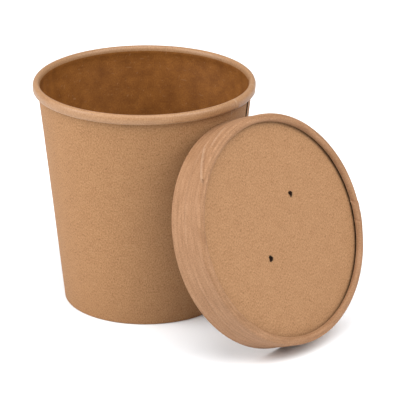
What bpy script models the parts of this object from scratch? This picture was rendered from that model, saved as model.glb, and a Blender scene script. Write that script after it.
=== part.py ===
"""Takeaway soup container of brown paperboard: an empty open cup, with its vented lid leaning on it.

Metres, +Z up. The lid leans on the cup from the -Y side, and the plane of both centres is parallel
to YZ. The origin is the middle of the bounding box, on the surface that both pieces stand on.

Four pieces of board make the object: the wrapped cup wall, whose foot is folded in and whose top is
rolled out, the cup's recessed bottom, the lid's band, whose top is rolled in, and the lid's panel.
"""

from math import cos, hypot, pi, radians, sin

import bpy

MM = 0.001

# The board, the clearance between pieces that touch, and the facets of each turned shape.
BOARD = 0.45 * MM
GAP = 0.3 * MM
FACETS = 60
FACET_ANGLE = 2 * pi / FACETS
WELD = 0.01 * MM

# The cup: a 16 oz container with the common 98 mm rim.
CUP_HEIGHT = 101.6 * MM
RIM_RADIUS = 49.0 * MM
RIM_WIDTH = 3.1 * MM
RIM_HEIGHT = 4.6 * MM
FOOT_RADIUS = 36.6 * MM
WALL_FLARE = 0.104
FOOT_CHAMFER = 0.35 * MM
FOOT_FOLD_HEIGHT = 7.6 * MM
BASE_RECESS = 9.0 * MM
BASE_CORNER = 0.9 * MM
CUP_LAP_START = -11 * FACET_ANGLE
CUP_LAP_FACETS = 3

# The lid: a band as wide as a 98 mm rim needs, and a panel sunk in its rolled top.
LID_RADIUS = 50.0 * MM
LID_HEIGHT = 17.2 * MM
LID_ROLL_WIDTH = 3.6 * MM
LID_ROLL_HEIGHT = 3.7 * MM
PANEL_RECESS = 3.05 * MM
PANEL_CORNER = 0.8 * MM
LID_LAP_START = -2 * FACET_ANGLE
LID_LAP_FACETS = 2
VENT_DIAMETER = 2.7 * MM
VENT_BEARING = radians(45)
VENT_REACHES = (17.4 * MM, -14.4 * MM)
VENT_SIDES = 16

# The lid's open side faces the cup. Its lowest edge is on the surface, its highest touches the wall.
LEAN = radians(22.2)
LEAN_GAP = 0.4 * MM
LID_RISE = LID_RADIUS * cos(LEAN)
CUP_TO_LID = (
    FOOT_RADIUS + WALL_FLARE * 2 * LID_RISE + LEAN_GAP + LID_RADIUS * sin(LEAN)
)

# What the lid reaches beyond its own centre on -Y: its rolled edge, at the side next to the surface.
LID_REACH = (
    (LID_HEIGHT - LID_ROLL_HEIGHT / 2) * cos(LEAN)
    + (LID_RADIUS - LID_ROLL_WIDTH / 2) * sin(LEAN)
    + hypot(LID_ROLL_HEIGHT / 2 * cos(LEAN), LID_ROLL_WIDTH / 2 * sin(LEAN))
)
CUP_Y = (CUP_TO_LID + LID_REACH - RIM_RADIUS) / 2
LID_Y = CUP_Y - CUP_TO_LID
# The lid's lap stands one board proud on +X only, so both pieces are set back by half of it.
CENTRE_X = -BOARD / 2


def clear_scene():
    for obj in list(bpy.data.objects):
        bpy.data.objects.remove(obj, do_unlink=True)


def new_collection(name):
    collection = bpy.data.collections.new(name)
    bpy.context.scene.collection.children.link(collection)
    return collection


def board_material(name, colour, roughness):
    """Paperboard as a plain Principled BSDF; the colour is linear."""
    material = bpy.data.materials.new(name)
    material.use_nodes = True
    shader = material.node_tree.nodes["Principled BSDF"]
    shader.inputs["Base Color"].default_value = (*colour, 1.0)
    shader.inputs["Roughness"].default_value = roughness
    shader.inputs["Metallic"].default_value = 0.0
    return material


def ellipse_arc(centre, half_width, half_height, start, end, points):
    """Points (radius, height) along an ellipse, from one angle in degrees to another."""
    found = []
    for i in range(points):
        angle = radians(start + (end - start) * i / (points - 1))
        found.append(
            (centre[0] + half_width * cos(angle), centre[1] + half_height * sin(angle))
        )
    return found


def turned_sheet(name, profile, collection, start=0.0, facets=FACETS, thickness=BOARD):
    """A sheet turned about its object's Z axis from the profile through its mid-thickness."""
    mesh = bpy.data.meshes.new(name)
    points = [(r * cos(start), r * sin(start), z) for r, z in profile]
    mesh.from_pydata(points, [(i, i + 1) for i in range(len(points) - 1)], [])
    obj = bpy.data.objects.new(name, mesh)
    collection.objects.link(obj)

    turn = obj.modifiers.new("Turn", "SCREW")
    turn.axis = "Z"
    turn.angle = facets * FACET_ANGLE
    turn.steps = turn.render_steps = facets
    turn.use_merge_vertices = True
    turn.merge_threshold = WELD

    wall = obj.modifiers.new("Board", "SOLIDIFY")
    wall.thickness = thickness
    wall.offset = 0.0
    wall.use_even_offset = True
    return obj


def lap_strip(name, profile, cutters, start, facets):
    """The second layer of board where a wrapped piece overlaps itself, sunk in by half a board.

    The profile is the outer face of the wrapped piece below it.
    """
    sunk = BOARD / 2
    thickness = BOARD + sunk
    middle = [(r + thickness / 2 - sunk, z) for r, z in profile]
    return turned_sheet(name, middle, cutters, start, facets, thickness)


def combine(obj, helper, operation):
    """Joins a helper to a piece, or cuts it out, and hides the helper."""
    boolean = obj.modifiers.new(helper.name, "BOOLEAN")
    boolean.operation = operation
    boolean.solver = "EXACT"
    boolean.object = helper
    helper.hide_render = True
    helper.display_type = "WIRE"


def dress(obj, material):
    obj.data.materials.append(material)


def wall_middle(height):
    """Radius of the cup wall's mid-thickness at a height."""
    return FOOT_RADIUS - BOARD / 2 + WALL_FLARE * height


def cup_wall_profile():
    """From the free end of the folded foot, round the foot, up the wall and round the rolled rim."""
    fold = 2 * (BOARD + GAP)
    turn_height = BOARD / 2 + FOOT_CHAMFER
    foot = [
        (wall_middle(FOOT_FOLD_HEIGHT) - fold, FOOT_FOLD_HEIGHT),
        (wall_middle(turn_height) - fold, turn_height),
        (wall_middle(0) - fold + FOOT_CHAMFER, BOARD / 2),
        (wall_middle(0) - FOOT_CHAMFER, BOARD / 2),
        (wall_middle(turn_height), turn_height),
    ]
    half_width = (RIM_WIDTH - BOARD) / 2
    half_height = (RIM_HEIGHT - BOARD) / 2
    centre = (RIM_RADIUS - RIM_WIDTH / 2, CUP_HEIGHT - RIM_HEIGHT / 2)
    rim = ellipse_arc(centre, half_width, half_height, 210, -90, 11)
    neck = CUP_HEIGHT - 1.25 * RIM_HEIGHT
    return [*foot, (wall_middle(neck), neck), *rim]


def cup_base_profile():
    """The flat bottom with its skirt turned down between the wall and the folded foot."""
    top = BASE_RECESS - BOARD / 2
    inset = BOARD + GAP
    skirt_top = top - BASE_CORNER
    skirt_bottom = BOARD + GAP + BOARD / 2
    corner_centre = (wall_middle(skirt_top) - inset - BASE_CORNER, skirt_top)
    corner = ellipse_arc(corner_centre, BASE_CORNER, BASE_CORNER, 90, 0, 4)
    return [(0.0, top), *corner, (wall_middle(skirt_bottom) - inset, skirt_bottom)]


def lid_band_profile():
    """From the open edge up the band, over its rolled top and down to just above the panel."""
    half_width = (LID_ROLL_WIDTH - BOARD) / 2
    half_height = (LID_ROLL_HEIGHT - BOARD) / 2
    centre = (LID_RADIUS - LID_ROLL_WIDTH / 2, LID_HEIGHT - LID_ROLL_HEIGHT / 2)
    roll = ellipse_arc(centre, half_width, half_height, 0, 180, 9)
    curl_end = LID_HEIGHT - PANEL_RECESS + GAP
    return [(LID_RADIUS - BOARD / 2, 0.0), *roll, (roll[-1][0], curl_end)]


def lid_panel_profile():
    """The flat panel with its flange turned up inside the rolled top, next to the band."""
    panel = LID_HEIGHT - PANEL_RECESS - BOARD / 2
    flange_radius = LID_RADIUS - BOARD / 2 - BOARD - GAP
    flange_top = LID_HEIGHT - 2.5 * BOARD
    corner_centre = (flange_radius - PANEL_CORNER, panel + PANEL_CORNER)
    corner = ellipse_arc(corner_centre, PANEL_CORNER, PANEL_CORNER, -90, 0, 4)
    return [(0.0, panel), *corner, (flange_radius, flange_top)]


def build_cup(parts, cutters, board):
    wall = turned_sheet("cup_wall", cup_wall_profile(), parts)
    lap_bottom = 3 * BOARD
    lap_top = CUP_HEIGHT - RIM_HEIGHT - 1.5 * BOARD
    outer = [(wall_middle(z) + BOARD / 2, z) for z in (lap_bottom, lap_top)]
    lap = lap_strip("cup_wall_lap", outer, cutters, CUP_LAP_START, CUP_LAP_FACETS)
    combine(wall, lap, "UNION")
    base = turned_sheet("cup_base", cup_base_profile(), parts)
    for obj in (wall, lap, base):
        obj.location = (CENTRE_X, CUP_Y, 0.0)
    dress(wall, board["outer"])
    dress(base, board["inner"])


def vent_cutter(name, reach, cutters):
    """A rod through the panel, at a distance from the lid's centre along the line of the vents."""
    bpy.ops.mesh.primitive_cylinder_add(
        vertices=VENT_SIDES, radius=VENT_DIAMETER / 2, depth=LID_HEIGHT
    )
    rod = bpy.context.active_object
    rod.name = name
    for collection in list(rod.users_collection):
        collection.objects.unlink(rod)
    cutters.objects.link(rod)
    rod.location = (reach * cos(VENT_BEARING), reach * sin(VENT_BEARING), LID_HEIGHT)
    return rod


def build_lid(parts, cutters, board):
    """The lid about its own Z axis, from the open edge, on an empty that leans it on the cup."""
    band = turned_sheet("lid_band", lid_band_profile(), parts)
    lap_top = LID_HEIGHT - LID_ROLL_HEIGHT / 2
    outer = [(LID_RADIUS, 0.0), (LID_RADIUS, lap_top)]
    lap = lap_strip("lid_band_lap", outer, cutters, LID_LAP_START, LID_LAP_FACETS)
    combine(band, lap, "UNION")
    panel = turned_sheet("lid_panel", lid_panel_profile(), parts)
    rods = []
    for number, reach in enumerate(VENT_REACHES, start=1):
        rod = vent_cutter(f"vent_rod_{number}", reach, cutters)
        combine(panel, rod, "DIFFERENCE")
        rods.append(rod)
    dress(band, board["outer"])
    dress(panel, board["panel"])

    stand = bpy.data.objects.new("lid_lean", None)
    parts.objects.link(stand)
    stand.location = (CENTRE_X, LID_Y, LID_RISE)
    stand.rotation_euler = (pi / 2 - LEAN, 0.0, 0.0)
    for obj in (band, lap, panel, *rods):
        obj.parent = stand


def main():
    clear_scene()
    parts = new_collection("takeaway_soup_container")
    cutters = new_collection("cutters")
    board = {
        "outer": board_material("kraft_board_outer", (0.51, 0.28, 0.14), 0.75),
        "inner": board_material("kraft_board_lined", (0.32, 0.15, 0.06), 0.55),
        "panel": board_material("kraft_board_panel", (0.55, 0.32, 0.16), 0.75),
    }
    build_cup(parts, cutters, board)
    build_lid(parts, cutters, board)


main()
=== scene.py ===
"""Looks of the takeaway soup container: a kraft paperboard cup with its vented lid leaning on it.

Every sheet of board is wrapped by one Geometry Nodes tree from a section through the middle of its
thickness, pressed into shape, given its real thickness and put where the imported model's node is.
"""

import logging
from collections.abc import Callable, Sequence
from dataclasses import dataclass, field
from enum import Enum
from math import atan2, cos, degrees, exp, hypot, pi, radians, sin

import bmesh
import bpy
from mathutils import Matrix, Quaternion, Vector


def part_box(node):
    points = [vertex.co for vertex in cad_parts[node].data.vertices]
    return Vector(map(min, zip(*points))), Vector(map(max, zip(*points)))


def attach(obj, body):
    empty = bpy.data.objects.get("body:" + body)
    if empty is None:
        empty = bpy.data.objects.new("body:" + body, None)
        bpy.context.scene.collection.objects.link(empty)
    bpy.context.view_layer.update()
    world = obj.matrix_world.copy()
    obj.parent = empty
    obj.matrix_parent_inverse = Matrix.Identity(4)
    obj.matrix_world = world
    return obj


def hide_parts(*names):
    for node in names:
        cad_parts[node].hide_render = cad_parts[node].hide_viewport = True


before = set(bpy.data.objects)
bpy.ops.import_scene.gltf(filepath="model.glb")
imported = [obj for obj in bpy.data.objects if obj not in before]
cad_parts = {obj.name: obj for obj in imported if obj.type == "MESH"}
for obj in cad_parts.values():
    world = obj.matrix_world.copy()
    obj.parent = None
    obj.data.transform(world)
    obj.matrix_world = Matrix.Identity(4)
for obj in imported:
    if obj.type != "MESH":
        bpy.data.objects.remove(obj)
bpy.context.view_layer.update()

log = logging.getLogger("soup_container")

MM = 0.001
BODY = "root"
BOARD_UV = "board_uv"
# Attribute of pale marks: partly board whitened by bending, partly painted highlight on ridges.
WHITENING_AND_HIGHLIGHT = "whitening_and_highlight"
SHARP_ANGLE = radians(38)
# An angle past the end of any sheet, where a ramp never starts.
BEYOND = 720.0

Pair = tuple[float, float]
Rule = Callable[[float, float], float]


def linear(colour: str) -> tuple[float, float, float, float]:
    """Turns an sRGB hex colour into linear RGBA.

    Args:
        colour: six hex digits, such as "b4875f".

    Returns:
        Linear red, green, blue and an alpha of 1.
    """
    shares = [int(colour[i : i + 2], 16) / 255 for i in (0, 2, 4)]
    red, green, blue = (s / 12.92 if s <= 0.04045 else ((s + 0.055) / 1.055) ** 2.4 for s in shares)
    return red, green, blue, 1.0


def smooth(low: float, high: float, value: float) -> float:
    """Rises smoothly from 0 at low to 1 at high, or falls if high is below low.

    Args:
        low: where it is 0.
        high: where it is 1.
        value: where it is wanted.

    Returns:
        A share from 0 to 1.
    """
    t = min(1.0, max(0.0, (value - low) / (high - low)))
    return t * t * (3 - 2 * t)


def add_node(
    tree: bpy.types.NodeTree,
    kind: str,
    settings: dict | None = None,
    inputs: dict | None = None,
) -> bpy.types.Node:
    """Adds one node with its settings and links.

    Args:
        tree: the node tree that gets the node.
        kind: the node's type name.
        settings: the node's own properties.
        inputs: socket name or number to a constant, or to the output socket that feeds it.

    Returns:
        The new node.
    """
    node = tree.nodes.new(kind)
    for name, value in (settings or {}).items():
        setattr(node, name, value)
    for name, value in (inputs or {}).items():
        if isinstance(value, bpy.types.NodeSocket):
            tree.links.new(value, node.inputs[name])
        else:
            node.inputs[name].default_value = value
    return node


def new_tree(name: str, inputs: Sequence[tuple[str, str]], output: str) -> bpy.types.NodeTree:
    """Starts a Geometry Nodes tree with named inputs.

    Args:
        name: the tree's name.
        inputs: each input's name and socket type.
        output: the name of the geometry that it gives.

    Returns:
        The tree, still without nodes.
    """
    tree = bpy.data.node_groups.new(name, "GeometryNodeTree")
    for label, kind in inputs:
        tree.interface.new_socket(name=label, in_out="INPUT", socket_type=kind)
    tree.interface.new_socket(name=output, in_out="OUTPUT", socket_type="NodeSocketGeometry")
    return tree


def end_tree(
    tree: bpy.types.NodeTree, shape: bpy.types.NodeSocket, board: bpy.types.NodeSocket
) -> None:
    """Ends a Geometry Nodes tree with one real mesh in its finish.

    Args:
        tree: the tree.
        shape: the geometry that its other nodes make.
        board: the finish.
    """
    whole = add_node(tree, "GeometryNodeRealizeInstances", inputs={"Geometry": shape}).outputs[0]
    dressed = add_node(
        tree, "GeometryNodeSetMaterial", inputs={"Geometry": whole, "Material": board}
    ).outputs[0]
    add_node(tree, "NodeGroupOutput", inputs={0: dressed})


def shaped(name: str, shape: bmesh.types.BMesh, finish: bpy.types.Material) -> bpy.types.Object:
    """Makes an object of a drawn shape, in one finish.

    Args:
        name: the object's name.
        shape: the drawn shape, which is freed.
        finish: its finish.

    Returns:
        The object.
    """
    mesh = bpy.data.meshes.new(name)
    shape.to_mesh(mesh)
    shape.free()
    mesh.materials.append(finish)
    obj = bpy.data.objects.new(name, mesh)
    bpy.context.scene.collection.objects.link(obj)
    return obj


# ---------------------------------------------------------------------------------------- finishes


class Weave(Enum):
    """How strongly the board's fibres show on one of its faces."""

    OPEN = 1.0
    CALENDERED = 0.75
    LINED = 0.7


@dataclass(frozen=True)
class Fibres:
    """Scattered fibres of one kind.

    They have directions in degrees and sizes in metres. Rarity is the noise level above which one
    shows, and share how much of its own colour it then has.
    """

    colour: str
    turns: tuple[float, ...]
    length: float
    width: float
    rarity: float
    share: float


@dataclass(frozen=True)
class KraftBoard:
    """Unbleached kraft paperboard, formed on a paper machine from long brown pulp fibres.

    It gives the eye a matte warm brown that is never even: soft clouds some 6 mm across where the
    pulp is thicker, a grain of single fibres, and here and there a dark sliver of bark or a pale
    fibre. Fibres are about 0.03 mm thick, too fine to show, so the grain is drawn 0.5 mm across and
    the slivers 0.16 mm wide. Board that is drawn round a roll also has long streaks. Thick places
    are redder, so red varies less than green, and blue more.
    """

    name: str
    colour: str
    weave: Weave
    roughness: float
    specular: float = 0.3
    cloud: float = 0.07
    cloud_size: float = 6 * MM
    grain: float = 0.42
    grain_size: float = 0.5 * MM
    grain_squeeze: float = 0.6
    streak: float = 0.0
    streak_size: Pair = (14 * MM, 1.3 * MM)
    red_power: float = 0.8
    blue_power: float = 1.35
    dark: Fibres = Fibres("5e391c", (25.0, -40.0, 82.0), 2.2 * MM, 0.16 * MM, 0.70, 0.55)
    pale: Fibres = Fibres("ab8562", (-8.0, 58.0), 2.8 * MM, 0.22 * MM, 0.69, 0.3)
    # Colour of the pale marks: partly board whitened by bending, partly painted highlight on ridges.
    whitening_and_highlight: str = "ccb6a0"
    relief: float = 0.05 * MM
    relief_strength: float = 0.5
    sheen_change: float = 0.06

    def build(self) -> bpy.types.Material:
        """Builds the material's nodes.

        Returns:
            The finished material.
        """
        material = bpy.data.materials.new(self.name)
        material.use_nodes = True
        tree = material.node_tree
        shader = tree.nodes["Principled BSDF"]
        place = add_node(tree, "ShaderNodeUVMap", {"uv_map": BOARD_UV}).outputs["UV"]
        strength = self.weave.value

        cloud = add_node(
            tree,
            "ShaderNodeTexNoise",
            inputs={"Vector": place, "Scale": 1 / self.cloud_size, "Detail": 3.0, "Roughness": 0.55},
        ).outputs["Fac"]
        along = add_node(
            tree,
            "ShaderNodeVectorMath",
            {"operation": "MULTIPLY"},
            {0: place, 1: (1.0, self.grain_squeeze, 1.0)},
        ).outputs[0]
        grain = add_node(
            tree,
            "ShaderNodeTexNoise",
            inputs={"Vector": along, "Scale": 1 / self.grain_size, "Detail": 2.0, "Roughness": 0.7},
        ).outputs["Fac"]
        drawn = add_node(
            tree,
            "ShaderNodeVectorMath",
            {"operation": "MULTIPLY"},
            {0: place, 1: (1 / self.streak_size[0], 1 / self.streak_size[1], 1.0)},
        ).outputs[0]
        streak = add_node(
            tree, "ShaderNodeTexNoise", inputs={"Vector": drawn, "Scale": 1.0, "Detail": 3.0}
        ).outputs["Fac"]
        tone = 1.0
        depths = ((cloud, self.cloud), (grain, self.grain * strength), (streak, self.streak))
        for noise, depth in depths:
            limits = {"From Min": 0.25, "From Max": 0.75, "To Min": 1 - depth, "To Max": 1 + depth}
            shade = add_node(tree, "ShaderNodeMapRange", inputs={"Value": noise, **limits}).outputs[0]
            tone = add_node(
                tree, "ShaderNodeMath", {"operation": "MULTIPLY"}, {0: tone, 1: shade}
            ).outputs[0]
        redder, bluer = (
            add_node(tree, "ShaderNodeMath", {"operation": "POWER"}, {0: tone, 1: power}).outputs[0]
            for power in (self.red_power, self.blue_power)
        )
        tint = add_node(
            tree, "ShaderNodeCombineXYZ", inputs={"X": redder, "Y": tone, "Z": bluer}
        ).outputs[0]
        ground = add_node(
            tree,
            "ShaderNodeVectorMath",
            {"operation": "MULTIPLY"},
            {0: linear(self.colour)[:3], 1: tint},
        ).outputs[0]

        masks = [self._mask(tree, place, fibres) for fibres in (self.dark, self.pale)]
        for mask, fibres in zip(masks, (self.dark, self.pale)):
            amount = add_node(
                tree,
                "ShaderNodeMath",
                {"operation": "MULTIPLY"},
                {0: mask, 1: fibres.share * strength},
            ).outputs[0]
            ground = add_node(
                tree,
                "ShaderNodeMix",
                {"data_type": "RGBA"},
                {0: amount, 6: ground, 7: linear(fibres.colour)},
            ).outputs[2]
        # Pales the board by that attribute: partly whitened board, partly painted highlight on
        # ridges.
        whitening_and_highlight = add_node(
            tree, "ShaderNodeAttribute", {"attribute_name": WHITENING_AND_HIGHLIGHT, "attribute_type": "GEOMETRY"}
        ).outputs["Fac"]
        ground = add_node(
            tree,
            "ShaderNodeMix",
            {"data_type": "RGBA"},
            {0: whitening_and_highlight, 6: ground, 7: linear(self.whitening_and_highlight)},
        ).outputs[2]
        tree.links.new(ground, shader.inputs["Base Color"])

        sheen = add_node(
            tree,
            "ShaderNodeMapRange",
            inputs={
                "Value": cloud,
                "To Min": self.roughness - self.sheen_change,
                "To Max": self.roughness + self.sheen_change,
            },
        ).outputs[0]
        tree.links.new(sheen, shader.inputs["Roughness"])
        shader.inputs["Specular IOR Level"].default_value = self.specular

        height = add_node(
            tree,
            "ShaderNodeMath",
            {"operation": "MULTIPLY_ADD"},
            {0: masks[1], 1: 0.6, 2: grain},
        ).outputs[0]
        depth = self.relief_strength * strength
        bump = add_node(
            tree,
            "ShaderNodeBump",
            inputs={"Strength": depth, "Distance": self.relief, "Height": height},
        )
        tree.links.new(bump.outputs["Normal"], shader.inputs["Normal"])
        return material

    @staticmethod
    def _mask(
        tree: bpy.types.NodeTree, place: bpy.types.NodeSocket, fibres: Fibres
    ) -> bpy.types.NodeSocket:
        """Draws thin scattered fibres, one layer for each of their directions.

        Args:
            tree: the material's nodes.
            place: the coordinates, in metres over the board.
            fibres: what they are like.

        Returns:
            A mask that is 1 on the fibres.
        """
        mask = None
        for number, turn in enumerate(fibres.turns):
            turned = add_node(
                tree,
                "ShaderNodeMapping",
                inputs={
                    "Vector": place,
                    "Location": (0.013 * number, 0.029 * number, 0.0),
                    "Rotation": (0.0, 0.0, radians(turn)),
                },
            ).outputs[0]
            stretched = add_node(
                tree,
                "ShaderNodeVectorMath",
                {"operation": "MULTIPLY"},
                {0: turned, 1: (1 / fibres.length, 1 / (4 * fibres.width), 1.0)},
            ).outputs[0]
            noise = add_node(
                tree,
                "ShaderNodeTexNoise",
                inputs={"Vector": stretched, "Scale": 1.0, "Detail": 1.0, "Distortion": 0.4},
            ).outputs["Fac"]
            layer = add_node(
                tree,
                "ShaderNodeMapRange",
                {"interpolation_type": "SMOOTHSTEP"},
                {"Value": noise, "From Min": fibres.rarity, "From Max": fibres.rarity + 0.06},
            ).outputs[0]
            if mask is None:
                mask = layer
            else:
                mask = add_node(
                    tree, "ShaderNodeMath", {"operation": "MAXIMUM"}, {0: mask, 1: layer}
                ).outputs[0]
        return mask


@dataclass(frozen=True)
class StudioFloor:
    """A sheet of matte white paper, which gives the eye only the soft shadow."""

    name: str = "white_backdrop_paper"
    colour: str = "f7fafd"

    def build(self) -> bpy.types.Material:
        """Builds the material.

        Returns:
            The finished material.
        """
        material = bpy.data.materials.new(self.name)
        material.use_nodes = True
        shader = material.node_tree.nodes["Principled BSDF"]
        shader.inputs["Base Color"].default_value = linear(self.colour)
        shader.inputs["Roughness"].default_value = 0.9
        shader.inputs["Specular IOR Level"].default_value = 0.0
        return material


@dataclass(frozen=True)
class Finishes:
    """The finishes of the container, each one face or edge of the same kind of board."""

    outer: bpy.types.Material
    lined: bpy.types.Material
    rolled: bpy.types.Material
    band: bpy.types.Material
    panel: bpy.types.Material
    back: bpy.types.Material
    edge: bpy.types.Material
    painted_shade: bpy.types.Material

    @classmethod
    def build(cls) -> "Finishes":
        """Builds every finish of the container.

        Returns:
            The finishes.
        """
        # Bare board, which gives the eye a dull brown with every fibre showing.
        outer = KraftBoard("kraft_board_uncoated", "946c47", Weave.OPEN, 0.78)
        # Board under a thin film: blotchy, with a faint shine, and painted darker and redder as the
        # shade inside the cup.
        lined = KraftBoard("kraft_board_film_lined_painted_shade", "7c4b1a", Weave.LINED, 0.6, cloud=0.3)
        # The same film on the rolled rim, without the painted shade: paler than the lined finish, and
        # the shiniest.
        rolled = KraftBoard("kraft_board_film_rolled", "956e4a", Weave.LINED, 0.45, specular=0.5)
        # Board drawn round the lid: greyer, smoother and streaked along the band.
        band = KraftBoard("kraft_board_curled", "8f694a", Weave.CALENDERED, 0.74, streak=0.2)
        # The lid's flat disc: dull, with a fine even grain.
        panel = KraftBoard("kraft_board_die_cut", "946d4a", Weave.OPEN, 0.78)
        # The lid's inner face: pale and a little smoother.
        back = KraftBoard("kraft_board_lid_lining", "956f4b", Weave.LINED, 0.62)
        # Cut edges: the palest and roughest.
        edge = KraftBoard("kraft_board_cut_edge", "a48260", Weave.CALENDERED, 0.9, grain=0.3)
        # Painted shade, nearly black: for the seam's cut edges, the crevice under the lid's curl and
        # the inside of the vents.
        painted_shade = KraftBoard("kraft_board_painted_shade", "2a1709", Weave.LINED, 0.8)
        boards = (outer, lined, rolled, band, panel, back, edge, painted_shade)
        return cls(*(board.build() for board in boards))


# ---------------------------------------------------------------------------------- wrapped sheets


class Section:
    """A section through the middle of a sheet of board, as (radius, height) points in metres.

    Each point also has a swell: which way it moves where the rolled edge is thicker.
    """

    # A curl shrinks over the last part of its turn, and a swell droops by a share of itself.
    TUCK_FROM = 0.55
    SWELL_DROOP = 0.4
    GROOVE_WIDTH = 0.5 * MM
    # How much of a lap's lift the board has where it runs downwards, inside a roll or the foot.
    DOWNWARD_LIFT = 0.15

    def __init__(self, start: Pair) -> None:
        """Starts the section at a point."""
        self.points: list[Pair] = [start]
        self.swells: list[Pair] = [(0.0, 0.0)]

    def add(self, point: Pair, swell: Pair = (0.0, 0.0)) -> None:
        """Adds one point with its swell."""
        self.points.append(point)
        self.swells.append(swell)

    def line(self, end: Pair, count: int) -> "Section":
        """Runs straight to a point.

        Args:
            end: where the line ends.
            count: how many points it adds.

        Returns:
            The section, to add to.
        """
        (r0, z0), (r1, z1) = self.points[-1], end
        for i in range(1, count + 1):
            t = i / count
            self.add((r0 + (r1 - r0) * t, z0 + (z1 - z0) * t))
        return self

    def curl(
        self,
        centre: Pair,
        half: Pair,
        angles: Pair,
        count: int,
        squareness: Pair = (2.0, 2.0),
        tuck: float = 0.0,
        swell: float = 0.0,
        groove: Pair = (0.0, 0.0),
    ) -> "Section":
        """Runs along a rounded curl.

        Args:
            centre: the middle of the curl.
            half: its half width and half height.
            angles: its first and last angle in degrees, 0 outward and 90 up.
            count: how many points it adds.
            squareness: 2 for an ellipse, more for a squarer curl; above and below its middle.
            tuck: the share by which the curl has shrunk at its last angle.
            swell: how much of a swell the outermost point takes.
            groove: radius and depth of a groove pressed into its top.

        Returns:
            The section, to add to.
        """
        first, last = angles
        for i in range(count):
            t = i / (count - 1)
            angle = radians(first + (last - first) * t)
            shrink = 1 - tuck * smooth(self.TUCK_FROM, 1.0, t)
            power = squareness[0] if sin(angle) > 0 else squareness[1]
            across = self._rounded(cos(angle), power) * half[0] * shrink
            up = self._rounded(sin(angle), power) * half[1] * shrink
            radius, height = centre[0] + across, centre[1] + up
            if up > 0 and groove[1]:
                height -= groove[1] * exp(-(((radius - groove[0]) / self.GROOVE_WIDTH) ** 2))
            out = (1 + cos(angle)) / 2 * swell * shrink
            self.add((radius, height), (out, min(0.0, sin(angle)) * out * self.SWELL_DROOP))
        return self

    @staticmethod
    def _rounded(share: float, squareness: float) -> float:
        """Returns a sine or cosine reshaped for a squarer curl."""
        return (1 if share >= 0 else -1) * abs(share) ** (2 / squareness)

    def length(self) -> float:
        """Returns how long the section is so far, over the board."""
        pairs = zip(self.points, self.points[1:])
        return sum(hypot(r1 - r0, z1 - z0) for (r0, z0), (r1, z1) in pairs)

    def mesh(self, name: str) -> bpy.types.Mesh:
        """Makes the section a chain of vertices that the wrapping tree reads.

        Args:
            name: the mesh's name.

        Returns:
            A mesh with the attributes side, swell and run.
        """
        points = [Vector((r, 0.0, z)) for r, z in self.points]
        mesh = bpy.data.meshes.new(name)
        mesh.from_pydata(points, [(i, i + 1) for i in range(len(points) - 1)], [])
        for label, kind in (("side", "FLOAT_VECTOR"), ("swell", "FLOAT_VECTOR"), ("run", "FLOAT")):
            mesh.attributes.new(label, kind, "POINT")
        side, swell, run = (mesh.attributes[label] for label in ("side", "swell", "run"))
        travelled = 0.0
        for i, point in enumerate(points):
            before, after = points[max(i - 1, 0)], points[min(i + 1, len(points) - 1)]
            along = (after - before).normalized()
            share = 1.0 if along.z > 0 else self.DOWNWARD_LIFT
            side.data[i].vector = (along.z * share, 0.0, 0.0)
            swell.data[i].vector = (self.swells[i][0], 0.0, self.swells[i][1])
            if i:
                travelled += (point - before).length
            run.data[i].value = travelled
        return mesh


@dataclass(frozen=True)
class Wrap:
    """How a section is wrapped round its axis. Angles are in degrees.

    The sheet can run past a full turn, and then it lies on itself over the lap.
    """

    start: float = 0.0
    end: float = 360.0
    lap_from: float = BEYOND
    lap_to: float = BEYOND + 1
    swell_from: float = BEYOND
    swell_to: float = BEYOND + 1
    fade_from: float = BEYOND
    fade_to: float = BEYOND + 1
    columns: int = 180
    lap_height: float = 0.0
    unroll_radius: float = 42 * MM


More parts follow.
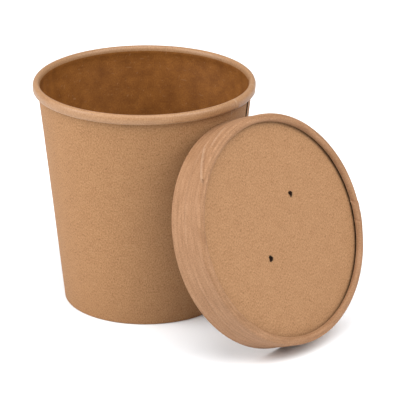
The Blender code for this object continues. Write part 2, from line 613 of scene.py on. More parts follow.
class WrappingTree:
    """The Geometry Nodes tree that wraps a section into a sheet of board."""

    FIELDS = (
        ("Section", "NodeSocketGeometry"),
        ("Columns", "NodeSocketInt"),
        ("Start", "NodeSocketFloat"),
        ("End", "NodeSocketFloat"),
        ("Lap From", "NodeSocketFloat"),
        ("Lap To", "NodeSocketFloat"),
        ("Lap Height", "NodeSocketFloat"),
        ("Swell From", "NodeSocketFloat"),
        ("Swell To", "NodeSocketFloat"),
        ("Fade From", "NodeSocketFloat"),
        ("Fade To", "NodeSocketFloat"),
        ("Unroll Radius", "NodeSocketFloat"),
        ("Board", "NodeSocketMaterial"),
    )

    WELD = 0.002 * MM

    def __init__(self) -> None:
        """Builds the tree."""
        self.tree = new_tree("wrap_board_round", self.FIELDS, "Sheet")
        self._build()

    def _build(self) -> None:
        """Adds the nodes: a grid whose rows follow the section and whose columns go round."""
        tree = self.tree
        given = add_node(tree, "NodeGroupInput").outputs
        rows = add_node(
            tree, "GeometryNodeAttributeDomainSize", inputs={"Geometry": given["Section"]}
        ).outputs["Point Count"]
        sizes = {"Size X": 1.0, "Size Y": 1.0, "Vertices X": given["Columns"], "Vertices Y": rows}
        grid = add_node(tree, "GeometryNodeMeshGrid", inputs=sizes).outputs
        shares = add_node(tree, "ShaderNodeSeparateXYZ", inputs={0: grid["UV Map"]}).outputs
        last = add_node(
            tree, "ShaderNodeMath", {"operation": "SUBTRACT"}, {0: rows, 1: 1.0}
        ).outputs[0]
        row = add_node(
            tree, "ShaderNodeMath", {"operation": "MULTIPLY"}, {0: shares["Y"], 1: last}
        ).outputs[0]
        row = add_node(tree, "ShaderNodeMath", {"operation": "ROUND"}, {0: row}).outputs[0]
        place = add_node(tree, "GeometryNodeInputPosition").outputs[0]
        sources = {"place": (place, "FLOAT_VECTOR")}
        for name, kind in (("side", "FLOAT_VECTOR"), ("swell", "FLOAT_VECTOR"), ("run", "FLOAT")):
            value = add_node(
                tree, "GeometryNodeInputNamedAttribute", {"data_type": kind}, {"Name": name}
            ).outputs["Attribute"]
            sources[name] = (value, kind)
        sampled = {}
        for name, (value, kind) in sources.items():
            sampled[name] = add_node(
                tree,
                "GeometryNodeSampleIndex",
                {"data_type": kind, "domain": "POINT", "clamp": True},
                {"Geometry": given["Section"], "Value": value, "Index": row},
            ).outputs[0]

        angle = add_node(
            tree,
            "ShaderNodeMapRange",
            inputs={"Value": shares["X"], "To Min": given["Start"], "To Max": given["End"]},
        ).outputs[0]
        turned = add_node(
            tree, "ShaderNodeMath", {"operation": "WRAP"}, {0: angle, 1: 180.0, 2: -180.0}
        ).outputs[0]
        ramps = {}
        for name, value in (("Lap", angle), ("Swell", turned), ("Fade", turned)):
            ramps[name] = add_node(
                tree,
                "ShaderNodeMapRange",
                {"interpolation_type": "SMOOTHSTEP"},
                {"Value": value, "From Min": given[name + " From"], "From Max": given[name + " To"]},
            ).outputs[0]
        point = sampled["place"]
        moves = (
            (ramps["Lap"], given["Lap Height"], sampled["side"]),
            (ramps["Swell"], ramps["Fade"], sampled["swell"]),
        )
        for ramp, size, direction in moves:
            amount = add_node(
                tree, "ShaderNodeMath", {"operation": "MULTIPLY"}, {0: ramp, 1: size}
            ).outputs[0]
            shift = add_node(
                tree,
                "ShaderNodeVectorMath",
                {"operation": "SCALE"},
                {0: direction, "Scale": amount},
            ).outputs[0]
            point = add_node(
                tree, "ShaderNodeVectorMath", {"operation": "ADD"}, {0: point, 1: shift}
            ).outputs[0]
        turn = add_node(tree, "ShaderNodeMath", {"operation": "RADIANS"}, {0: angle}).outputs[0]
        placed = add_node(
            tree,
            "ShaderNodeVectorRotate",
            {"rotation_type": "Z_AXIS"},
            {"Vector": point, "Angle": turn},
        ).outputs[0]

        unrolled = add_node(
            tree,
            "ShaderNodeMath",
            {"operation": "MULTIPLY"},
            {0: turn, 1: given["Unroll Radius"]},
        ).outputs[0]
        flat = add_node(
            tree, "ShaderNodeCombineXYZ", inputs={"X": unrolled, "Y": sampled["run"]}
        ).outputs[0]
        mapped = add_node(
            tree,
            "GeometryNodeStoreNamedAttribute",
            {"data_type": "FLOAT2", "domain": "CORNER"},
            {"Geometry": grid["Mesh"], "Name": BOARD_UV, "Value": flat},
        ).outputs[0]
        run = add_node(
            tree,
            "GeometryNodeStoreNamedAttribute",
            {"data_type": "FLOAT", "domain": "POINT"},
            {"Geometry": mapped, "Name": "run", "Value": sampled["run"]},
        ).outputs[0]
        bent = add_node(
            tree, "GeometryNodeSetPosition", inputs={"Geometry": run, "Position": placed}
        ).outputs[0]
        joined = add_node(
            tree, "GeometryNodeMergeByDistance", inputs={"Geometry": bent, "Distance": self.WELD}
        ).outputs[0]
        end_tree(tree, joined, given["Board"])

    def sheet(
        self, name: str, section: Section, wrap: Wrap, board: bpy.types.Material
    ) -> bpy.types.Object:
        """Wraps a section into a sheet without thickness.

        Args:
            name: the sheet's name.
            section: the section through the sheet.
            wrap: how it goes round.
            board: the finish of its outer face.

        Returns:
            A plain mesh object about its own axis.
        """
        chain = bpy.data.objects.new(name + "_section", section.mesh(name + "_section"))
        bpy.context.scene.collection.objects.link(chain)
        values = {
            "Columns": wrap.columns + 1,
            "Start": wrap.start,
            "End": wrap.end,
            "Lap From": wrap.lap_from,
            "Lap To": wrap.lap_to,
            "Lap Height": wrap.lap_height,
            "Swell From": wrap.swell_from,
            "Swell To": wrap.swell_to,
            "Fade From": wrap.fade_from,
            "Fade To": wrap.fade_to,
            "Unroll Radius": wrap.unroll_radius,
            "Board": board,
        }
        return baked(name, chain, self.tree, values)


def baked(
    name: str, source: bpy.types.Object, tree: bpy.types.NodeTree, values: dict
) -> bpy.types.Object:
    """Runs a Geometry Nodes tree on an object and keeps only the plain mesh it makes.

    Args:
        name: the new object's name.
        source: the object that the tree starts from, which is removed.
        tree: the tree.
        values: input name to value.

    Returns:
        The new object.
    """
    modifier = source.modifiers.new(tree.name, "NODES")
    modifier.node_group = tree
    for item in tree.interface.items_tree:
        if item.in_out == "INPUT" and item.name in values:
            modifier[item.identifier] = values[item.name]
    graph = bpy.context.evaluated_depsgraph_get()
    mesh = bpy.data.meshes.new_from_object(source.evaluated_get(graph))
    mesh.name = name
    mesh.materials.clear()
    mesh.materials.append(values["Board"])
    mesh.polygons.foreach_set("material_index", [0] * len(mesh.polygons))
    bpy.data.objects.remove(source)
    obj = bpy.data.objects.new(name, mesh)
    bpy.context.scene.collection.objects.link(obj)
    return obj


def with_modifiers(obj: bpy.types.Object) -> bpy.types.Object:
    """Applies an object's modifiers to its mesh.

    Args:
        obj: the object.

    Returns:
        The same object, with no modifiers.
    """
    graph = bpy.context.evaluated_depsgraph_get()
    mesh = bpy.data.meshes.new_from_object(obj.evaluated_get(graph))
    obj.modifiers.clear()
    obj.data = mesh
    mesh.name = obj.name
    return obj


def thicken(
    obj: bpy.types.Object,
    thickness: float,
    other_face: bpy.types.Material,
    edge: bpy.types.Material,
) -> bpy.types.Object:
    """Gives a sheet its board's thickness, with a finish for its other face and its cut edges.

    Args:
        obj: the sheet.
        thickness: the board's thickness.
        other_face: the finish of the face that its normals point away from.
        edge: the finish of the cut edges.

    Returns:
        The same object as a closed solid.
    """
    obj.data.materials.append(other_face)
    obj.data.materials.append(edge)
    wall = obj.modifiers.new("board", "SOLIDIFY")
    wall.thickness = thickness
    wall.offset = 0.0
    wall.use_even_offset = True
    wall.material_offset = 1
    wall.material_offset_rim = 2
    return with_modifiers(obj)


def press(obj: bpy.types.Object, rule: Rule) -> None:
    """Presses a sheet along its normals.

    Args:
        obj: a sheet with the attribute run, about its own axis.
        rule: gives the height from the angle in degrees and the run in metres.
    """
    mesh = obj.data
    runs = mesh.attributes["run"].data
    moves = []
    for vertex in mesh.vertices:
        angle = degrees(atan2(vertex.co.y, vertex.co.x))
        moves.append(vertex.normal * rule(angle, runs[vertex.index].value))
    for vertex, move in zip(mesh.vertices, moves):
        vertex.co += move


def mark(obj: bpy.types.Object, rule: Rule) -> None:
    """Notes on a sheet where its board is painted pale: partly board whitened by bending hard, partly
    painted highlight on ridges.

    Args:
        obj: a sheet with the attribute run, about its own axis.
        rule: gives the paleness from the angle in degrees and the run in metres.
    """
    mesh = obj.data
    mesh.attributes.new(WHITENING_AND_HIGHLIGHT, "FLOAT", "POINT")
    runs, whitening_and_highlight = mesh.attributes["run"].data, mesh.attributes[WHITENING_AND_HIGHLIGHT].data
    for vertex in mesh.vertices:
        angle = degrees(atan2(vertex.co.y, vertex.co.x))
        whitening_and_highlight[vertex.index].value = rule(angle, runs[vertex.index].value)


def settle(obj: bpy.types.Object, place: Matrix, node: str) -> None:
    """Puts a finished piece in its place in its mesh and hands it to the frame.

    Args:
        obj: the piece, about its own axis.
        place: where the axis goes.
        node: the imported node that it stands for, or an empty text.
    """
    obj.data.transform(place)
    obj.data.shade_smooth()
    obj.data.set_sharp_from_angle(angle=SHARP_ANGLE)
    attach(obj, BODY)
    if node:
        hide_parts(node)
    log.info("%s: %d faces", obj.name, len(obj.data.polygons))


# --------------------------------------------------------------------------------------- the cup


@dataclass
class Cup:
    """The open cup: a wrapped wall with a rolled rim and a folded foot, and a sunk bottom."""

    tree: WrappingTree
    finishes: Finishes
    board: float = 0.45 * MM
    gap: float = 0.3 * MM
    rim_width: float = 3.1 * MM
    rim_height: float = 4.6 * MM
    foot_radius: float = 36.6 * MM
    flare: float = 0.104
    foot_round: float = 0.5 * MM
    fold_height: float = 7.6 * MM
    base_height: float = 9.0 * MM
    base_corner: float = 0.9 * MM
    lap_edge: float = -62.6
    lap_under: float = -46.0
    lap_ramp: float = 7.0
    lap_slack: float = 0.03 * MM
    bulge: Pair = (-83.0, -57.0)
    bulge_ramp: Pair = (1.0, 0.8)
    bulge_size: float = 0.35 * MM
    bulge_paleness: float = 0.18
    bulge_mark: float = 0.45
    roll_turn: Pair = (208.0, -130.0)
    roll_squareness: Pair = (2.1, 3.6)
    roll_tuck: float = 0.2
    # Share of the rim's height, over the board past the roll's start, up to which the lined finish's
    # painted shade reaches.
    shaded_share: float = 0.66
    waver: float = 0.07 * MM
    knurls: int = 84
    knurl_width: float = 0.55 * MM
    knurl_inset: float = 1.2 * MM
    place: Matrix = field(init=False)
    height: float = field(init=False)
    rim_radius: float = field(init=False)
    roll_run: float = field(init=False)

    def __post_init__(self) -> None:
        """Takes the cup's place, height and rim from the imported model."""
        low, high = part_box("cup_wall")
        self.place = Matrix.Translation(((low.x + high.x) / 2, (low.y + high.y) / 2, 0.0))
        self.height = high.z
        self.rim_radius = (high.x - low.x) / 2

    def middle(self, height: float) -> float:
        """Returns the radius of the wall's mid-thickness at a height."""
        return self.foot_radius - self.board / 2 + self.flare * height

    def wall_section(self) -> Section:
        """Draws the wall from the folded foot to the tucked end of the rolled rim.

        Returns:
            The section through the wall.
        """
        fold = 2 * (self.board + self.gap)
        low = self.board / 2
        turn = self.foot_round
        section = Section((self.middle(self.fold_height) - fold, self.fold_height))
        section.line((self.middle(low + turn) - fold, low + turn), 6)
        inner = (self.middle(0) - fold + turn, low + turn)
        section.curl(inner, (turn, turn), (180, 270), 5)
        outer = (self.middle(0) - turn, low + turn)
        section.curl(outer, (turn, turn), (270, 360), 5)
        neck = self.height - 1.25 * self.rim_height
        section.line((self.middle(neck), neck), 24)
        self.roll_run = section.length()
        half = ((self.rim_width - self.board) / 2, (self.rim_height - self.board) / 2)
        centre = (self.rim_radius - self.rim_width / 2, self.height - self.rim_height / 2)
        section.curl(
            centre, half, self.roll_turn, 34, self.roll_squareness, self.roll_tuck, self.bulge_size
        )
        return section

    def base_section(self) -> Section:
        """Draws the bottom from its skirt's edge to its middle.

        Returns:
            The section through the bottom.
        """
        top = self.base_height - self.board / 2
        inset = self.board + self.gap
        low = 1.5 * self.board + self.gap
        shoulder = top - self.base_corner
        section = Section((self.middle(low) - inset, low))
        section.line((self.middle(shoulder) - inset, shoulder), 8)
        corner = (self.middle(shoulder) - inset - self.base_corner, shoulder)
        section.curl(corner, (self.base_corner, self.base_corner), (0, 90), 7)
        section.line((0.0, top), 24)
        return section

    def make_wall(self) -> bpy.types.Object:
        """Makes the wrapped wall, which laps over itself at the side seam.

        Returns:
            The wall as a closed solid.
        """
        wrap = Wrap(
            start=self.lap_edge,
            end=self.lap_under + 360,
            lap_from=self.lap_under + self.lap_ramp,
            lap_to=self.lap_under,
            lap_height=self.board + self.lap_slack,
            swell_from=self.bulge[0] - self.bulge_ramp[0],
            swell_to=self.bulge[0] + self.bulge_ramp[1],
            fade_from=self.bulge[1] + self.bulge_ramp[0],
            fade_to=self.bulge[1] - self.bulge_ramp[1],
            columns=560,
        )
        wall = self.tree.sheet("cup_wall_sheet", self.wall_section(), wrap, self.finishes.outer)
        press(wall, self.wall_waver)
        mark(wall, self.wall_paleness)
        thicken(wall, self.board, self.finishes.lined, self.finishes.edge)
        self.dress_roll(wall)
        return wall

    def dress_roll(self, wall: bpy.types.Object) -> None:
        """Gives the rolled rim its own finish from near its top, above the lined finish's painted
        shade, and gives the seam's cut edges painted shade.

        Args:
            wall: the thickened wall.
        """
        mesh = wall.data
        mesh.materials.append(self.finishes.rolled)
        mesh.materials.append(self.finishes.painted_shade)
        runs = mesh.attributes["run"].data
        start = self.roll_run + self.shaded_share * self.rim_height
        foot = 2 * self.fold_height
        for face in mesh.polygons:
            run = min(runs[i].value for i in face.vertices)
            if face.material_index == 1 and run > start:
                face.material_index = 3
            # The seam's cut edges get the near-black finish: painted shade at the lap's step.
            elif face.material_index == 2 and foot < run < self.roll_run:
                face.material_index = 4

    def wall_paleness(self, angle: float, run: float) -> float:
        """Gives how pale the rim's board is at the two ends of its thick part: partly whitened board,
        partly painted highlight on the steps there.

        Args:
            angle: the angle in degrees.
            run: the run in metres.

        Returns:
            The paleness, from 0 to 1.
        """
        if run < self.roll_run:
            return 0.0
        marks = (exp(-(((angle - end) / self.bulge_mark) ** 2)) for end in self.bulge)
        return self.bulge_paleness * sum(marks)

    def wall_waver(self, angle: float, run: float) -> float:
        """Gives how far broad waves in the board stand out of a true cone.

        Args:
            angle: the angle in degrees.
            run: the run in metres.

        Returns:
            The height in metres, which is nothing at the foot and at the roll.
        """
        around = sin(radians(2 * angle + 40)) + 0.6 * sin(radians(5 * angle - 70))
        below_roll = smooth(self.roll_run, self.roll_run - 15 * MM, run)
        return self.waver * around * smooth(0.02, 0.06, run) * below_roll

    def make_base(self) -> bpy.types.Object:
        """Makes the bottom.

        Returns:
            The bottom as a closed solid.
        """
        wrap = Wrap(columns=180)
        base = self.tree.sheet("cup_bottom_disc", self.base_section(), wrap, self.finishes.lined)
        press(base, self.base_dish)
        lay_flat(base)
        return thicken(base, self.board, self.finishes.outer, self.finishes.edge)

    def base_dish(self, angle: float, run: float) -> float:
        """Gives the bottom's slight uneven dish.

        Args:
            angle: the angle in degrees.
            run: the run in metres from the skirt's edge.

        Returns:
            The height in metres.
        """
        inward = smooth(0.012, 0.04, run)
        return (0.10 * sin(radians(2 * angle)) - 0.15) * MM * inward

    def make_knurl(self) -> bpy.types.Object:
        """Makes the ribs that the crimping wheel leaves inside the folded foot.

        Returns:
            All ribs as one mesh.
        """
        middle = self.fold_height / 2 + 0.2 * MM
        radius = self.middle(middle) - 2 * (self.board + self.gap) - self.board / 2
        tree = knurl_tree()
        start = bpy.data.objects.new("knurl_start", bpy.data.meshes.new("knurl_start"))
        bpy.context.scene.collection.objects.link(start)
        values = {
            "Ribs": self.knurls,
            "Radius": radius,
            "Height": middle,
            "Rib Length": self.fold_height - 2 * self.knurl_inset,
            "Rib Width": self.knurl_width,
            "Lean": atan2(self.flare, 1.0),
            "Board": self.finishes.outer,
        }
        return baked("foot_knurl", start, tree, values)

    def build(self) -> None:
        """Builds and places the cup's pieces."""
        settle(self.make_wall(), self.place, "cup_wall")
        settle(self.make_base(), self.place, "cup_base")
        knurl = self.make_knurl()
        unroll(knurl, self.foot_radius)
        settle(knurl, self.place, "")


def knurl_tree() -> bpy.types.NodeTree:
    """Builds the tree that sets ribs round the inside of the foot.

    Returns:
        The tree.
    """
    sizes = ("Radius", "Height", "Rib Length", "Rib Width", "Lean")
    fields = [("Ribs", "NodeSocketInt"), *((size, "NodeSocketFloat") for size in sizes)]
    tree = new_tree("knurl_ring", [*fields, ("Board", "NodeSocketMaterial")], "Ribs")
    given = add_node(tree, "NodeGroupInput").outputs
    ring = add_node(
        tree,
        "GeometryNodeMeshCircle",
        inputs={"Vertices": given["Ribs"], "Radius": given["Radius"]},
    ).outputs[0]
    half = add_node(
        tree, "ShaderNodeMath", {"operation": "MULTIPLY"}, {0: given["Rib Width"], 1: 0.5}
    ).outputs[0]
    rod = add_node(
        tree,
        "GeometryNodeMeshCylinder",
        inputs={"Vertices": 10, "Radius": half, "Depth": given["Rib Length"]},
    ).outputs["Mesh"]
    leaning = add_node(tree, "ShaderNodeCombineXYZ", inputs={"Y": given["Lean"]}).outputs[0]
    rib = add_node(
        tree,
        "GeometryNodeTransform",
        inputs={"Geometry": rod, "Rotation": leaning, "Scale": (0.6, 1.0, 1.0)},
    ).outputs[0]
    outward = add_node(
        tree,
        "FunctionNodeAlignEulerToVector",
        {"axis": "X", "pivot_axis": "Z"},
        {"Vector": add_node(tree, "GeometryNodeInputPosition").outputs[0]},
    ).outputs[0]
    ribs = add_node(
        tree,
        "GeometryNodeInstanceOnPoints",
        inputs={"Points": ring, "Instance": rib, "Rotation": outward},
    ).outputs[0]
    lift = add_node(tree, "ShaderNodeCombineXYZ", inputs={"Z": given["Height"]}).outputs[0]
    raised = add_node(
        tree, "GeometryNodeTransform", inputs={"Geometry": ribs, "Translation": lift}
    ).outputs[0]
    end_tree(tree, raised, given["Board"])
    return tree


def lay_flat(obj: bpy.types.Object) -> None:
    """Maps a disc's finish as it lies, seen from above.

    Args:
        obj: a disc about its own axis.
    """
    layer = obj.data.uv_layers[BOARD_UV].data
    for loop in obj.data.loops:
        point = obj.data.vertices[loop.vertex_index].co
        layer[loop.index].uv = (point.x, point.y)


def unroll(obj: bpy.types.Object, radius: float) -> None:
    """Maps small pieces that stand round an axis as if unrolled.

    Args:
        obj: the pieces about their axis.
        radius: the radius that they are unrolled at.
    """
    layer = obj.data.uv_layers.get(BOARD_UV) or obj.data.uv_layers.new(name=BOARD_UV)
    for loop in obj.data.loops:
        point = obj.data.vertices[loop.vertex_index].co
        layer.data[loop.index].uv = (atan2(point.y, point.x) * radius, point.z)


# --------------------------------------------------------------------------------------- the lid


@dataclass(frozen=True)
class Crease:
    """A crease pressed into the lid's band. Angles are in degrees, runs and sizes in millimetres.

    The run is measured over the board from the open edge. A negative height is a groove.
    """

    first_angle: float
    first_run: float
    last_angle: float
    last_run: float
    height: float
    width: float = 0.45
    fade: float = 4.0

    def rise(self, angle: float, run: float) -> float:
        """Returns the crease's height at a place.

        Args:
            angle: the angle in degrees.
            run: the run in millimetres.

        Returns:
            The height in millimetres.
        """
        span = self.last_angle - self.first_angle
        share = ((angle - self.first_angle) % 360) / span
        if share > 1:
            return 0.0
        ends = self.fade / span
        here = smooth(0, ends, share) * smooth(1, 1 - ends, share)
        off = (run - self.first_run - (self.last_run - self.first_run) * share) / self.width
        return self.height * here * exp(-off * off)


@dataclass(frozen=True)
class Flap:
    """The flap of board left hanging in a vent.

    It has its hinge's bearing and its tilt in degrees, and its size as a share of the vent.
    """

    hinge: float
    tilt: float
    size: float


@dataclass
class Lid:
    """The vented lid: a band with a rolled top edge round a sunk panel, about its own axis.

    Its Z runs from the open edge to the panel. Angles are seen from the panel's side, with 90 the
    side that leans on the cup.
    """

    tree: WrappingTree
    finishes: Finishes
    board: float = 0.45 * MM
    gap: float = 0.3 * MM
    height: float = 17.2 * MM
    roll_width: float = 3.6 * MM
    roll_height: float = 3.7 * MM
    recess: float = 3.05 * MM
    roll_squareness: Pair = (2.3, 2.3)
    groove_inset: float = 1.15 * MM
    groove_depth: float = 0.4 * MM
    curl_gap: float = 1.1 * MM
    curl_lean: float = 0.15 * MM
    panel_corner: float = 0.8 * MM
    panel_warp: float = 0.12 * MM
    seal_depth: float = 0.45 * MM
    seal_width: float = 1.2 * MM
    lap_edge: float = -2.0
    lap_under: float = -12.0
    lap_ramp: float = 6.0
    lap_bite: float = 0.08 * MM
    crease_paleness: float = 0.28
    lean: float = radians(22.2)
    vent_radius: float = 1.45 * MM
    vent_bearing: float = radians(45)
    vent_reaches: Pair = (17.4 * MM, -14.4 * MM)
    burr_depth: float = 2.2 * MM
    burr_board: float = 0.15 * MM
    flaps: tuple[Flap, Flap] = (
        Flap(hinge=30.0, tilt=27.0, size=0.84),
        Flap(hinge=0.0, tilt=70.0, size=0.6),
    )
    radius: float = field(init=False)
    curl_radius: float = field(init=False)
    seal_run: float = field(init=False)
    place: Matrix = field(init=False)

    CREASES = (
        Crease(-178, 8.5, 178, 8.3, 0.12, 0.40, 20.0),
        Crease(-178, 7.7, 178, 7.5, -0.10, 0.35, 20.0),
        Crease(116, 8.2, 143, 16.9, 0.55, 0.45, 5.0),
        Crease(119, 10.2, 146, 18.3, -0.50, 0.50, 6.0),
        Crease(97, 7.1, 114, 7.6, -0.40, 0.30),
        Crease(100, 10.6, 121, 13.4, 0.38, 0.45),
        Crease(103, 12.6, 128, 15.3, -0.40, 0.45),
        Crease(134, 5.4, 160, 7.0, -0.05, 0.60),
        Crease(178, 4.2, 204, 5.1, -0.05, 0.40),
        Crease(196, 11.5, 226, 12.8, 0.06, 0.45),
        Crease(30, 6.0, 60, 9.4, 0.08, 0.45),
        Crease(-75, 5.2, -40, 6.6, -0.06, 0.50),
        Crease(-7.0, 16.4, 0.5, 20.8, -0.45, 0.70, 0.8),
        Crease(-12.8, 17.6, -10.2, 21.8, -0.45, 1.30, 0.4),
    )

    def __post_init__(self) -> None:
        """Takes the lid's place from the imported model."""
        cup_low, cup_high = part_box("cup_wall")
        low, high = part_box("lid_band")
        self.radius = (cup_low.x + cup_high.x) / 2 - low.x
        self.curl_radius = self.radius - self.roll_width
        centre = Vector(
            (
                (cup_low.x + cup_high.x) / 2,
                high.y - self.radius * sin(self.lean),
                self.radius * cos(self.lean),
            )
        )
        self.place = Matrix.Translation(centre) @ Matrix.Rotation(pi / 2 - self.lean, 4, "X")

    def band_section(self) -> Section:
        """Draws the band from its open edge to the end of its curl, just above the panel.

        Returns:
            The section through the band.
        """
        half = ((self.roll_width - self.board) / 2, (self.roll_height - self.board) / 2)
        centre = (self.radius - self.roll_width / 2, self.height - self.roll_height / 2)
        section = Section((self.radius - self.board / 2, 0.0))
        section.line((self.radius - self.board / 2, centre[1] - 0.1 * MM), 50)
        groove = (self.radius - self.groove_inset, self.groove_depth)
        section.curl(centre, half, (0, 180), 26, self.roll_squareness, groove=groove)
        curl_end = self.height - self.recess + self.curl_gap
        section.line((centre[0] - half[0] - self.curl_lean, curl_end), 5)
        return section

    def panel_section(self) -> Section:
        """Draws the panel from its flange's edge to its middle.

        Returns:
            The section through the panel.
        """
        panel = self.height - self.recess - self.board / 2
        flange = self.radius - 1.5 * self.board - self.gap
        section = Section((flange, self.height - 2.5 * self.board))
        section.line((flange, panel + self.panel_corner), 4)
        corner = (flange - self.panel_corner, panel + self.panel_corner)
        section.curl(corner, (self.panel_corner, self.panel_corner), (0, -90), 6)
        self.seal_run = section.length() + flange - self.panel_corner - self.curl_radius
        section.line((0.0, panel), 60)
        return section

    def make_band(self) -> bpy.types.Object:
        """Makes the band, which laps over itself, and presses its creases.

        Returns:
            The band as a closed solid.
        """
        wrap = Wrap(
            start=self.lap_under,
            end=self.lap_edge + 360,
            lap_from=self.lap_under + 360 - self.lap_ramp,
            lap_to=self.lap_under + 360,
            lap_height=self.board - self.lap_bite,
            columns=540,
            unroll_radius=self.radius,
        )
        band = self.tree.sheet("lid_band_sheet", self.band_section(), wrap, self.finishes.band)
        press(band, self.band_relief)
        mark(band, self.band_paleness)
        return thicken(band, self.board, self.finishes.back, self.finishes.edge)

    def band_relief(self, angle: float, run: float) -> float:
        """Gives how far the band's creases and dents stand out.

        Args:
            angle: the angle in degrees.
            run: the run in metres.

        Returns:
            The height in metres.
        """
        run_mm = run / MM
        creases = sum(crease.rise(angle, run_mm) for crease in self.CREASES)
        waver = 0.05 * sin(radians(3 * angle + 20)) + 0.04 * sin(radians(7 * angle))
        return (creases + waver * smooth(3, 12, run_mm) * smooth(19, 16, run_mm)) * MM

    def band_paleness(self, angle: float, run: float) -> float:
        """Gives how pale the band's board is on the crests of its creases: partly whitened board,
        partly painted highlight on the ridges.

        Args:
            angle: the angle in degrees.
            run: the run in metres.

        Returns:
            The paleness, from 0 to 1.
        """
        crests = (crease.rise(angle, run / MM) for crease in self.CREASES)
        return self.crease_paleness * min(1.0, sum(max(0.0, crest) for crest in crests))

    def make_panel(self) -> bpy.types.Object:
        """Makes the panel and punches its two vents.

        Returns:
            The panel as a closed solid.
        """
        wrap = Wrap(columns=200)
        panel = self.tree.sheet("lid_panel_disc", self.panel_section(), wrap, self.finishes.panel)
        press(panel, self.panel_relief)
        lay_flat(panel)
        thicken(panel, self.board, self.finishes.back, self.finishes.edge)
        # From the flange to the middle of the seal's groove the upper face gets the near-black
        # finish: painted shade in the crevice under the lid's curl.
        panel.data.materials.append(self.finishes.painted_shade)
        runs = panel.data.attributes["run"].data
        for face in panel.data.polygons:
            run = max(runs[i].value for i in face.vertices)
            if face.material_index == 0 and run < self.seal_run - self.seal_width / 2:
                face.material_index = 3
        punches = [self.make_punch(i) for i in range(len(self.vent_reaches))]
        for punch in punches:
            cut = panel.modifiers.new(punch.name, "BOOLEAN")
            cut.operation = "DIFFERENCE"
            cut.solver = "EXACT"
            cut.material_mode = "TRANSFER"
            cut.object = punch
        with_modifiers(panel)
        for punch in punches:
            bpy.data.objects.remove(punch)
        return panel

    def panel_relief(self, angle: float, run: float) -> float:
        """Gives the panel's slight warp, and the groove of the seal under the curl.

        Args:
            angle: the angle in degrees.
            run: the run in metres from the flange's edge.

        Returns:
            The height in metres.
        """
        inward = smooth(0.004, 0.03, run)
        groove = smooth(self.seal_run, self.seal_run - self.seal_width, run)
        return self.panel_warp * inward * sin(radians(2 * angle + 25)) - self.seal_depth * groove

    def vent_centre(self, number: int) -> Vector:
        """Gives the middle of a vent on the panel's upper face.

        Args:
            number: which vent.

        Returns:
            Its middle.
        """
        reach = self.vent_reaches[number]
        across, up = reach * cos(self.vent_bearing), reach * sin(self.vent_bearing)
        return Vector((across, up, self.height - self.recess))

    def make_punch(self, number: int) -> bpy.types.Object:
        """Makes the uneven rod that a vent is cut with.

        Args:
            number: which vent.

        Returns:
            The rod, through the panel.
        """
        shape = bmesh.new()
        bmesh.ops.create_cone(
            shape,
            cap_ends=True,
            segments=40,
            radius1=self.vent_radius,
            radius2=self.vent_radius,
            depth=2 * MM,
        )
        for vertex in shape.verts:
            angle = atan2(vertex.co.y, vertex.co.x)
            rag = 0.07 * sin(3 * angle + 2 * number) + 0.05 * sin(7 * angle + number)
            vertex.co.x *= 1 + rag
            vertex.co.y *= 1 + rag
            vertex.co += self.vent_centre(number)
        return shaped(f"vent_punch_{number + 1}", shape, self.finishes.edge)

    def make_burr(self, number: int) -> bpy.types.Object:
        """Makes the torn funnel of board that the punch pushes inward round a vent.

        Args:
            number: which vent.

        Returns:
            The funnel.
        """
        centre = self.vent_centre(number) - Vector((0.0, 0.0, self.board * 0.6))
        shape = bmesh.new()
        rings, sides = 9, 32
        loops = []
        for i in range(rings):
            t = i / (rings - 1)
            radius = self.vent_radius * (1.04 - 0.5 * smooth(0, 1, t))
            loop = []
            for j in range(sides):
                angle = 2 * pi * j / sides
                rag = 0.09 * t * (sin(3 * angle + number) + 0.8 * sin(8 * angle + 2 * number))
                depth = self.burr_depth * (t + rag)
                spot = (radius * cos(angle), radius * sin(angle), -depth)
                loop.append(shape.verts.new(centre + Vector(spot)))
            loops.append(loop)
        for upper, lower in zip(loops, loops[1:]):
            for j in range(sides):
                k = (j + 1) % sides
                shape.faces.new((upper[j], lower[j], lower[k], upper[k]))
        # The funnel is drawn in the near-black finish: painted shade deep in the vent.
        obj = shaped(f"vent_burr_{number + 1}", shape, self.finishes.painted_shade)
        wall = obj.modifiers.new("torn", "SOLIDIFY")
        wall.thickness = self.burr_board
        wall.offset = 0.0
        with_modifiers(obj)
        unroll(obj, self.vent_radius)
        return obj

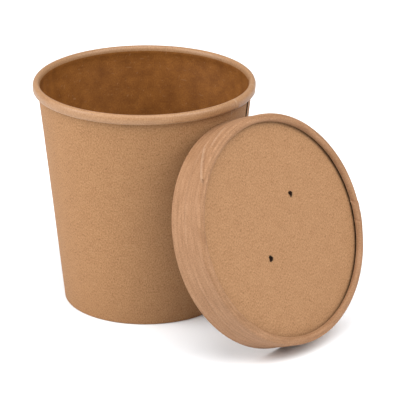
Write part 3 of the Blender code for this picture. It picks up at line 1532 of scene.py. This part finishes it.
    def make_flap(self, number: int) -> bpy.types.Object:
        """Makes the round flap that the punch leaves hanging in a vent.

        Args:
            number: which vent.

        Returns:
            The flap.
        """
        flap = self.flaps[number]
        shape = bmesh.new()
        sides = 28
        radius = self.vent_radius * flap.size
        rings = [[shape.verts.new((0.0, 0.0, 0.0))]]
        for ring in (0.4, 0.75, 1.0):
            loop = []
            for j in range(sides):
                angle = 2 * pi * j / sides
                rag = 1 + 0.05 * ring * sin(5 * angle) + 0.04 * ring * sin(9 * angle + 1)
                reach = radius * ring * rag
                loop.append(shape.verts.new((reach * cos(angle), reach * sin(angle), 0.0)))
            rings.append(loop)
        for j in range(sides):
            k = (j + 1) % sides
            shape.faces.new((rings[0][0], rings[1][j], rings[1][k]))
            for inner, outer in zip(rings[1:], rings[2:]):
                shape.faces.new((inner[j], outer[j], outer[k], inner[k]))
        hinge = Matrix.Rotation(radians(flap.hinge), 4, "Z")
        tilt = Matrix.Rotation(radians(flap.tilt), 4, "Y")
        for vertex in shape.verts:
            along = vertex.co.x + radius
            vertex.co.x = along
            vertex.co.z -= 0.12 * along * along / radius
            vertex.co = tilt @ vertex.co
            vertex.co.x -= radius
            vertex.co = hinge @ vertex.co
            vertex.co += self.vent_centre(number) - Vector((0.0, 0.0, self.board * 0.5))
        obj = shaped(f"vent_flap_{number + 1}", shape, self.finishes.panel)
        wall = obj.modifiers.new("flap", "SOLIDIFY")
        wall.thickness = self.board * 0.6
        wall.offset = 0.0
        with_modifiers(obj)
        obj.data.uv_layers.new(name=BOARD_UV)
        lay_flat(obj)
        return obj

    def build(self) -> None:
        """Builds and places the lid's pieces."""
        settle(self.make_band(), self.place, "lid_band")
        settle(self.make_panel(), self.place, "lid_panel")
        for number in range(len(self.vent_reaches)):
            settle(self.make_burr(number), self.place, "")
            settle(self.make_flap(number), self.place, "")


# ------------------------------------------------------------------------------------ the studio


class Softbox(Enum):
    """The studio's lamps: bearing from the camera's side in degrees, height angle, watts, size."""

    KEY = (-74.0, 32.0, 13.8, 1.0)
    FILL = (60.0, 44.0, 10.5, 1.0)
    TOP = (0.0, 67.0, 12.0, 1.2)


@dataclass
class Studio:
    """A white floor, white soft light and the camera."""

    camera_aim: Vector = field(default_factory=lambda: Vector((14.9, 6.2, 45.2)) * MM)
    camera_heading: float = 48.04
    camera_height_angle: float = 21.31
    camera_distance: float = 1232.7 * MM
    camera_roll: float = -0.09
    lens: float = 249.0
    sensor_width: float = 36.0
    lamp_distance: float = 1.3
    sky: float = 0.55
    floor_size: float = 8.0

    def from_aim(self, bearing: float, height_angle: float, distance: float) -> Vector:
        """Gives a place round the aim.

        Args:
            bearing: degrees from the camera's side, positive to its right.
            height_angle: degrees above the horizon.
            distance: distance from the aim.

        Returns:
            The place.
        """
        heading = radians(180 + self.camera_heading - bearing)
        level = cos(radians(height_angle)) * distance
        up = sin(radians(height_angle)) * distance
        return self.camera_aim + Vector((sin(heading) * level, cos(heading) * level, up))

    def make_camera(self) -> None:
        """Makes the camera and makes it the scene's."""
        data = bpy.data.cameras.new("camera")
        data.lens = self.lens
        data.sensor_width = self.sensor_width
        data.clip_end = 20.0
        camera = bpy.data.objects.new("camera", data)
        bpy.context.scene.collection.objects.link(camera)
        camera.location = self.from_aim(0.0, self.camera_height_angle, self.camera_distance)
        towards = (self.camera_aim - camera.location).to_track_quat("-Z", "Y")
        roll = Quaternion((0.0, 0.0, 1.0), radians(self.camera_roll))
        camera.rotation_mode = "QUATERNION"
        camera.rotation_quaternion = towards @ roll
        bpy.context.scene.camera = camera

    def make_lamps(self) -> None:
        """Makes the white softboxes and the white surroundings."""
        for box in Softbox:
            bearing, height_angle, watts, size = box.value
            data = bpy.data.lights.new(box.name.lower() + "_softbox", "AREA")
            data.shape = "DISK"
            data.size = size
            data.energy = watts
            lamp = bpy.data.objects.new(data.name, data)
            bpy.context.scene.collection.objects.link(lamp)
            lamp.location = self.from_aim(bearing, height_angle, self.lamp_distance)
            facing = self.camera_aim - lamp.location
            lamp.rotation_euler = facing.to_track_quat("-Z", "Y").to_euler()
        world = bpy.data.worlds.new("white_studio")
        world.use_nodes = True
        background = world.node_tree.nodes["Background"]
        background.inputs["Color"].default_value = (1.0, 1.0, 1.0, 1.0)
        background.inputs["Strength"].default_value = self.sky
        bpy.context.scene.world = world

    def make_floor(self) -> None:
        """Makes the floor, which isn't part of the object."""
        bpy.ops.mesh.primitive_plane_add(size=self.floor_size)
        floor = bpy.context.active_object
        floor.name = "floor"
        floor.data.materials.append(StudioFloor().build())

    def build(self) -> None:
        """Builds the studio."""
        bpy.context.scene.view_settings.view_transform = "Standard"
        self.make_camera()
        self.make_lamps()
        self.make_floor()


def main() -> None:
    """Builds the studio, the cup and the lid."""
    logging.basicConfig(level=logging.INFO, format="%(message)s")
    Studio().build()
    tree = WrappingTree()
    finishes = Finishes.build()
    Cup(tree, finishes).build()
    Lid(tree, finishes).build()


if __name__ == "__main__":
    main()
